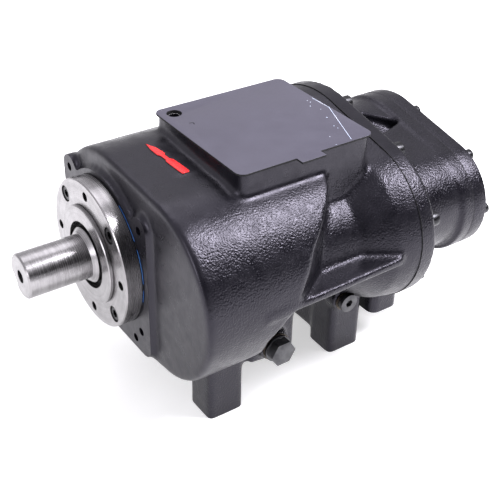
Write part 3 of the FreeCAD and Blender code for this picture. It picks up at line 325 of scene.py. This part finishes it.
# ---------------------------------------------------------------- castings
def cast(node, voxel, growth, faces_machined):
    """The node as a sand casting: filleted hollows, soft edges and a slight wave.

    faces_machined holds (axis index, side) pairs of the node's box that stay flat.
    """
    low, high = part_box(node)
    bm = copy_of(node)
    for axis, side in faces_machined:
        level = high[axis] if side > 0 else low[axis]
        for v in bm.verts:
            if abs(v.co[axis] - level) < on_face:
                v.co[axis] += side * machining_allowance
    remesh = {"mode": "VOXEL", "voxel_size": voxel, "adaptivity": 0.0}
    bm = baked(bm, [("REMESH", remesh),
                    ("DISPLACE", {"strength": growth, "mid_level": 0.0}),
                    ("REMESH", remesh),
                    ("DISPLACE", {"strength": -growth, "mid_level": 0.0}),
                    ("REMESH", remesh)])
    for _ in range(smoothing_steps):
        bmesh.ops.smooth_vert(bm, verts=bm.verts, factor=smoothing_factor,
                              use_axis_x=True, use_axis_y=True, use_axis_z=True)
    bm.normal_update()
    for v in bm.verts:
        wave = noise.noise(v.co / casting_wave_size) * casting_wave
        v.co += v.normal * wave
    triangles = sum(len(f.verts) - 2 for f in bm.faces)
    if triangles > casting_triangles:
        bm = baked(bm, [("DECIMATE", {"ratio": casting_triangles / triangles})])
    for axis, side in faces_machined:
        near = [low[k] - slab_reach for k in range(3)]
        far = [high[k] + slab_reach for k in range(3)]
        level = high[axis] if side > 0 else low[axis]
        if side > 0:
            near[axis] = level
        else:
            far[axis] = level
        slab = bmesh.new()
        add_box(slab, near, far)
        bm = cut_with(bm, slab)
    return bm


def drilled(bm, holes):
    """Cuts round holes, each a (start, end, radius), into a casting."""
    for start, end, r in holes:
        tool = bmesh.new()
        add_cylinder(tool, start, end, r)
        bm = cut_with(bm, tool)
    return bm


# ---------------------------------------------------------------- material helpers
def new_material(name):
    """A material with an empty node tree, its output and its Principled shader."""
    material = bpy.data.materials.new(name)
    material.use_nodes = True
    tree = material.node_tree
    tree.nodes.clear()
    shader = tree.nodes.new("ShaderNodeBsdfPrincipled")
    output = tree.nodes.new("ShaderNodeOutputMaterial")
    tree.links.new(shader.outputs[0], output.inputs[0])
    return material, tree, shader


def add(tree, kind, links=None, **settings):
    """Adds a node; links maps input sockets to values or to other nodes' outputs."""
    made = tree.nodes.new(kind)
    for key, value in settings.items():
        setattr(made, key, value)
    for socket, source in (links or {}).items():
        if isinstance(source, bpy.types.NodeSocket):
            tree.links.new(source, made.inputs[socket])
        else:
            made.inputs[socket].default_value = source
    return made


def maths(tree, operation, a, b=0.0):
    """One Math node's output."""
    return add(tree, "ShaderNodeMath", {0: a, 1: b}, operation=operation).outputs[0]


def ramp_between(tree, value, low, high, out_low, out_high):
    """A smooth change of one value over a span of another."""
    made = add(tree, "ShaderNodeMapRange", {"Value": value, "From Min": low, "From Max": high,
                                            "To Min": out_low, "To Max": out_high},
               interpolation_type="SMOOTHSTEP")
    return made.outputs[0]


def cells(tree, vector, size, detail=2.0, roughness=0.5):
    """Noise whose cells are about size across, from 0 to 1."""
    return add(tree, "ShaderNodeTexNoise", {"Vector": vector, "Scale": 1.0 / size, "Detail": detail,
                                            "Roughness": roughness}).outputs[0]


def tinted(tree, factor, dark, light):
    """A colour between two by a factor."""
    made = add(tree, "ShaderNodeMix", {0: factor, 6: (*dark, 1.0), 7: (*light, 1.0)}, data_type="RGBA")
    return made.outputs[2]


def bumped(tree, height, distance, strength, normal=None):
    """A bump node's normal."""
    links = {"Height": height, "Distance": distance, "Strength": strength}
    if normal is not None:
        links["Normal"] = normal
    return add(tree, "ShaderNodeBump", links).outputs[0]


def casting_paint():
    """Black semi-gloss paint over a sand casting, with orange peel on the sides and satin on top."""
    material, tree, shader = new_material("casting_paint")
    place = add(tree, "ShaderNodeTexCoord").outputs["Object"]
    split = add(tree, "ShaderNodeSeparateXYZ", {0: place})
    below_top = ramp_between(tree, split.outputs["Z"], *satin_top_span, 1.0, 0.22)
    behind_wall = ramp_between(tree, split.outputs["X"], *satin_wall_span, 0.20, 1.0)
    patches = ramp_between(tree, cells(tree, place, 34 * MM), 0.3, 0.65, 0.7, 1.0)
    region = maths(tree, "MULTIPLY", maths(tree, "MULTIPLY", below_top, behind_wall), patches)
    peel = cells(tree, place, 1.9 * MM, 1.0, 0.4)
    grain = cells(tree, place, 1.2 * MM, 2.0, 0.6)
    sand = cells(tree, place, 11 * MM, 3.0, 0.5)
    peel_normal = bumped(tree, peel, 0.62 * MM, region)
    grain_normal = bumped(tree, grain, 0.05 * MM, 0.7, peel_normal)
    normal = bumped(tree, sand, 0.25 * MM, 0.4, grain_normal)
    tree.links.new(normal, shader.inputs["Normal"])
    dust = ramp_between(tree, cells(tree, place, 55 * MM, 4.0, 0.6), 0.45, 0.75, 0.0, 1.0)
    tree.links.new(tinted(tree, dust, (0.0036, 0.0034, 0.0054), (0.0065, 0.0061, 0.0090)),
                   shader.inputs["Base Color"])
    tree.links.new(ramp_between(tree, sand, 0.3, 0.7, 0.27, 0.38), shader.inputs["Roughness"])
    shader.inputs["Specular IOR Level"].default_value = 0.37
    shader.inputs["Specular Tint"].default_value = (0.98, 0.94, 1.12, 1.0)
    return material


def machine_paint(name, dark, light, rough_low, rough_high, grain_depth):
    """Even paint on flat sheet and small parts."""
    material, tree, shader = new_material(name)
    place = add(tree, "ShaderNodeTexCoord").outputs["Object"]
    cloud = ramp_between(tree, cells(tree, place, 30 * MM, 4.0, 0.6), 0.35, 0.7, 0.0, 1.0)
    grain = cells(tree, place, 0.9 * MM, 2.0, 0.6)
    tree.links.new(tinted(tree, cloud, dark, light), shader.inputs["Base Color"])
    tree.links.new(ramp_between(tree, cloud, 0.0, 1.0, rough_low, rough_high), shader.inputs["Roughness"])
    tree.links.new(bumped(tree, grain, grain_depth, 1.0), shader.inputs["Normal"])
    shader.inputs["Specular IOR Level"].default_value = 0.3
    return material


def turned(name, centre_y, dark, light, rough_low, rough_high, depth):
    """Turned or ground metal: fine rings about the shaft axis at centre_y."""
    material, tree, shader = new_material(name)
    place = add(tree, "ShaderNodeTexCoord").outputs["Object"]
    split = add(tree, "ShaderNodeSeparateXYZ", {0: place})
    off = maths(tree, "SUBTRACT", split.outputs["Y"], centre_y)
    square = maths(tree, "ADD", maths(tree, "MULTIPLY", off, off),
                   maths(tree, "MULTIPLY", split.outputs["Z"], split.outputs["Z"]))
    radius = maths(tree, "SQRT", square)
    rings = add(tree, "ShaderNodeCombineXYZ", {"X": split.outputs["X"], "Y": radius}).outputs[0]
    fine = cells(tree, rings, 0.45 * MM, 3.0, 0.7)
    broad = cells(tree, rings, 5.0 * MM, 2.0, 0.6)
    smear = cells(tree, place, 18 * MM, 3.0, 0.6)
    tone = maths(tree, "MULTIPLY", maths(tree, "ADD", broad, smear), 0.5)
    tree.links.new(tinted(tree, ramp_between(tree, tone, 0.35, 0.65, 0.0, 1.0), dark, light),
                   shader.inputs["Base Color"])
    tree.links.new(ramp_between(tree, fine, 0.3, 0.7, rough_low, rough_high), shader.inputs["Roughness"])
    tree.links.new(bumped(tree, fine, depth, 1.0), shader.inputs["Normal"])
    shader.inputs["Metallic"].default_value = 1.0
    return material


def worked_metal(name, dark, light, rough_low, rough_high, size, depth):
    """Metal with a fine even finish."""
    material, tree, shader = new_material(name)
    place = add(tree, "ShaderNodeTexCoord").outputs["Object"]
    fine = cells(tree, place, size, 3.0, 0.6)
    cloud = cells(tree, place, size * 12, 3.0, 0.6)
    tree.links.new(tinted(tree, ramp_between(tree, cloud, 0.3, 0.7, 0.0, 1.0), dark, light),
                   shader.inputs["Base Color"])
    tree.links.new(ramp_between(tree, fine, 0.3, 0.7, rough_low, rough_high), shader.inputs["Roughness"])
    tree.links.new(bumped(tree, fine, depth, 1.0), shader.inputs["Normal"])
    shader.inputs["Metallic"].default_value = 1.0
    return material


finishes = {
    "casting_paint": casting_paint(),
    "turned_steel": turned("turned_steel", 0.0, (0.27, 0.262, 0.268), (0.38, 0.37, 0.378), 0.22, 0.30,
                           0.003 * MM),
    "rotor_steel": turned("rotor_steel", female_y, (0.40, 0.40, 0.39), (0.52, 0.52, 0.51), 0.24, 0.38,
                          0.01 * MM),
    "black_oxide": worked_metal("black_oxide", (0.030, 0.030, 0.033), (0.060, 0.060, 0.064), 0.28, 0.42,
                                0.8 * MM, 0.02 * MM),
    "bearing_steel": worked_metal("bearing_steel", (0.60, 0.60, 0.60), (0.70, 0.70, 0.70), 0.12, 0.2,
                                  0.5 * MM, 0.004 * MM),
    "cage_brass": worked_metal("cage_brass", (0.62, 0.45, 0.20), (0.74, 0.57, 0.28), 0.25, 0.4,
                               0.8 * MM, 0.01 * MM),
    "plug_steel": worked_metal("plug_steel", (0.050, 0.050, 0.054), (0.10, 0.10, 0.105), 0.30, 0.46,
                               1.0 * MM, 0.03 * MM),
    "washer_copper": worked_metal("washer_copper", (0.10, 0.085, 0.07), (0.17, 0.14, 0.11), 0.4, 0.55,
                                  0.8 * MM, 0.02 * MM),
    "gasket_black": machine_paint("gasket_black", (0.006, 0.006, 0.007), (0.012, 0.012, 0.013), 0.6, 0.75,
                                  0.05 * MM),
    "plate_grey": machine_paint("plate_grey", (0.074, 0.070, 0.096), (0.084, 0.080, 0.108), 0.40, 0.48,
                                0.02 * MM),
}
arrow_red = machine_paint("arrow_red", (0.62, 0.018, 0.022), (0.80, 0.035, 0.035), 0.30, 0.42, 0.15 * MM)
# arrow_edge: near-black for the arrow's painted shadow border, and for the real tick mark on the plate
arrow_edge = machine_paint("arrow_edge", (0.004, 0.004, 0.005), (0.008, 0.008, 0.009), 0.5, 0.6, 0.1 * MM)
sealant_blue = machine_paint("sealant_blue", (0.02, 0.10, 0.36), (0.05, 0.18, 0.50), 0.35, 0.5, 0.05 * MM)
chalk = machine_paint("chalk", (0.42, 0.50, 0.66), (0.74, 0.78, 0.88), 0.6, 0.8, 0.05 * MM)

for entry in frame["record"]["subparts"]:
    node = frame["nodes"][entry["node"]]
    node.data.materials.clear()
    node.data.materials.append(finishes[entry["material_slot"]])


# ---------------------------------------------------------------- castings in place
def upright_hole(x, y, low_z, high_z, r):
    """A hole along z, as drilled() takes it."""
    return ((x, y, low_z), (x, y, high_z), r)


housing_holes = []
for y, z, r in pad_taps:
    start = (pad_x - hole_overrun, y * MM, z * MM)
    end = (pad_x + pad_tap_depth, y * MM, z * MM)
    housing_holes.append((start, end, r * MM))
for x in foot_hole_x:
    for y in foot_hole_y:
        housing_holes.append(upright_hole(x * MM, y * MM, sole_z - hole_overrun, sole_z + foot_hole_depth,
                                          foot_hole_r))
for x in inlet_tap_x:
    for y in inlet_tap_y:
        housing_holes.append(upright_hole(x * MM, y * MM, inlet_z - inlet_tap_depth, inlet_z + hole_overrun,
                                          inlet_tap_r))
housing = cast("rotor_housing", housing_voxel, housing_growth, [front_face, rear_face, sole_face, top_face])
housing = drilled(housing, housing_holes)
housing_piece = piece_from("housing_casting", housing, finishes["casting_paint"],
                           ("rotor_housing",))
shade(housing_piece, casting_edge_angle)

discharge_holes = [upright_hole(port_x, port_y, port_z - hole_overrun, port_z + port_depth, port_r)]
for dx in (-port_tap_x, port_tap_x):
    for dy in (-port_tap_y, port_tap_y):
        discharge_holes.append(upright_hole(port_x + dx, port_y + dy, port_z - hole_overrun,
                                            port_z + port_tap_depth, port_tap_r))
discharge = cast("discharge_housing", discharge_voxel, discharge_growth, [front_face, rear_face, sole_face])
discharge = drilled(discharge, discharge_holes)
discharge_piece = piece_from("discharge_casting", discharge, finishes["casting_paint"],
                             ("discharge_housing",))
shade(discharge_piece, casting_edge_angle)

# ---------------------------------------------------------------- eased machined parts
for node, finish, width in eased_nodes:
    part = piece_from(node + "_eased", eased(node, width * MM), finishes[finish], (node,))
    shade(part, part_edge_angle)
    # the plate's sides and underside get the gasket's black as painted shade, standing for the shadow line
    # under the plate's edge
    if node == "inlet_cover_plate":
        part.data.materials.append(finishes["gasket_black"])
        for face in part.data.polygons:
            if face.normal.z < 0.5:
                face.material_index = 1

# ---------------------------------------------------------------- paint marks and small signs of use
casting_tree = BVHTree.FromPolygons([v.co for v in housing_piece.data.vertices],
                                    [tuple(f.vertices) for f in housing_piece.data.polygons])


def on_drum(x, y):
    """The height of the drum's top at a place."""
    return casting_tree.ray_cast(Vector((x, y, cad_high.z)), Vector((0.0, 0.0, -1.0)))[0].z


def arrow_outline(grow=0.0):
    """The turning arrow, a tapered head, a short neck and a wide tail, leaning a little."""
    tip_x, tip_y = arrow_tip
    left = [(-w * arrow_left_share - grow, d) for w, d in reversed(arrow_half[1:])]
    right = [(w + grow, d) for w, d in arrow_half[1:]]
    points = [(0.0, -grow)] + right + left
    return [((tip_x + w - d * arrow_lean) * MM, (tip_y - d) * MM) for w, d in points]


# the border below the red arrow is painted shadow of its raised edge
arrow_base = slab_of(arrow_outline(arrow_border), on_drum, arrow_border_sunk * MM, arrow_border_top * MM)
piece_from("arrow_shadow_paint", arrow_base, arrow_edge)
arrow_top = slab_of(arrow_outline(), on_drum, arrow_sunk * MM, arrow_top_rise * MM)
top_edges = [e for e in arrow_top.edges if all(f.normal.z > -0.5 for f in e.link_faces)
             and any(f.normal.z > 0.9 for f in e.link_faces)]
bmesh.ops.bevel(arrow_top, geom=top_edges, offset=arrow_rounding * MM, offset_type="OFFSET", segments=2,
                profile=0.5, affect="EDGES", clamp_overlap=True, material=-1)
arrow = piece_from("arrow_paint", arrow_top, arrow_red)
shade(arrow, part_edge_angle)


def on_plate(x, y):
    """The height of the blanking plate's top."""
    return plate_top


def line_on_plate(line, width, top):
    """A drawn line of straight strokes on the plate; values in mm."""
    bm = bmesh.new()
    for points in line:
        outline = stroke([(x * MM, y * MM) for x, y in points], width * MM)
        join(bm, slab_of(outline, on_plate, mark_sunk * MM, top * MM))
    return bm


marks = line_on_plate(chalk_line, chalk_width, chalk_top)
for x, y, r in specks:
    dot = [((x + r * math.cos(k)) * MM, (y + r * speck_squash * math.sin(k)) * MM)
           for k in range(speck_corners)]
    join(marks, slab_of(dot, on_plate, mark_sunk * MM, speck_top * MM))
piece_from("chalk_marks", marks, chalk)
piece_from("plate_tick", line_on_plate(tick_line, tick_width, tick_top), arrow_edge)

bead = bmesh.new()
for first, last in bead_spans:
    span = bmesh.new()
    ring = bmesh.ops.create_circle(span, cap_ends=True, segments=10, radius=bead_r,
                                   matrix=Matrix.Translation((pad_x - bead_r * 0.5, -cover_r, 0.0)))
    bmesh.ops.rotate(span, verts=ring["verts"], cent=(0, 0, 0),
                     matrix=Matrix.Rotation(math.radians(first), 3, "X"))
    bmesh.ops.spin(span, geom=span.faces[:], cent=(0, 0, 0), axis=(1.0, 0.0, 0.0), dvec=(0, 0, 0),
                   angle=math.radians(last - first), steps=24, use_merge=False, use_duplicate=False)
    bmesh.ops.recalc_face_normals(span, faces=span.faces)
    join(bead, span)
bead_piece = piece_from("sealant_bead", bead, sealant_blue)
shade(bead_piece, bead_edge_angle)

lip = bmesh.new()
lip_x = inlet_tap_x[0] * MM
lip_y = inlet_tap_y[1] * MM
verts = [lip.verts.new((lip_x + r * MM, lip_y, inlet_z + dz * MM)) for r, dz in lip_profile]
edges = [lip.edges.new((verts[k], verts[(k + 1) % len(verts)])) for k in range(len(verts))]
bmesh.ops.spin(lip, geom=verts + edges, cent=(lip_x, lip_y, 0.0), axis=(0.0, 0.0, 1.0),
               dvec=(0, 0, 0), angle=2 * math.pi, steps=40, use_merge=True, use_duplicate=False)
bmesh.ops.recalc_face_normals(lip, faces=lip.faces)
lip_piece = piece_from("inlet_hole_lip", lip, finishes["bearing_steel"])
shade(lip_piece, part_edge_angle)

# ---------------------------------------------------------------- floor, light and camera
floor_mesh = bmesh.new()
bmesh.ops.create_grid(floor_mesh, x_segments=1, y_segments=1, size=floor_reach,
                      matrix=Matrix.Translation((0, 0, sole_z)))
floor = object_of("floor", floor_mesh)
pale = machine_paint("pale_floor", (0.88, 0.88, 0.88), (0.92, 0.92, 0.92), 0.8, 0.9, 0.01 * MM)
floor_shader = pale.node_tree.nodes["Principled BSDF"]
floor_shader.inputs["Emission Color"].default_value = (1.0, 1.0, 1.0, 1.0)
floor_shader.inputs["Emission Strength"].default_value = floor_glow
floor.data.materials.append(pale)

scene = bpy.context.scene
scene.view_settings.view_transform = "Standard"
world = bpy.data.worlds.new("studio")
scene.world = world
world.use_nodes = True
sky = world.node_tree
heading = add(sky, "ShaderNodeTexCoord").outputs["Generated"]
facing = add(sky, "ShaderNodeVectorMath", {0: heading, 1: sky_toward}, operation="DOT_PRODUCT")
glow = ramp_between(sky, facing.outputs["Value"], *sky_span, *sky_strength)
sky.links.new(glow, sky.nodes["Background"].inputs[1])
sky.nodes["Background"].inputs[0].default_value = (*studio_white, 1.0)


def softbox(name, toward, distance, width, height, power):
    """A large area light that shines at the object from a direction."""
    light = bpy.data.lights.new(name, "AREA")
    light.shape = "RECTANGLE"
    light.size = width
    light.size_y = height
    light.energy = power
    light.color = studio_white
    box = bpy.data.objects.new(name, light)
    scene.collection.objects.link(box)
    direction = Vector(toward).normalized()
    box.location = Vector(light_aim) + direction * distance
    box.rotation_mode = "QUATERNION"
    box.rotation_quaternion = direction.to_track_quat("Z", "Y")


for settings in softboxes:
    softbox(*settings)

back = Vector((math.sin(azimuth) * math.cos(elevation), -math.cos(azimuth) * math.cos(elevation),
               math.sin(elevation)))
level_right = Vector((math.cos(azimuth), math.sin(azimuth), 0.0))
level_up = back.cross(level_right)
right = level_right * math.cos(roll) + level_up * math.sin(roll)
up = level_up * math.cos(roll) - level_right * math.sin(roll)
camera_data = bpy.data.cameras.new("camera")
camera_data.sensor_width = 36.0
camera_data.lens = camera_lens
camera_data.clip_start = 0.05
camera_data.clip_end = 50.0
camera = bpy.data.objects.new("camera", camera_data)
scene.collection.objects.link(camera)
turn = Matrix((right, up, back)).transposed().to_4x4()
camera.matrix_world = Matrix.Translation(camera_place) @ turn
scene.camera = camera
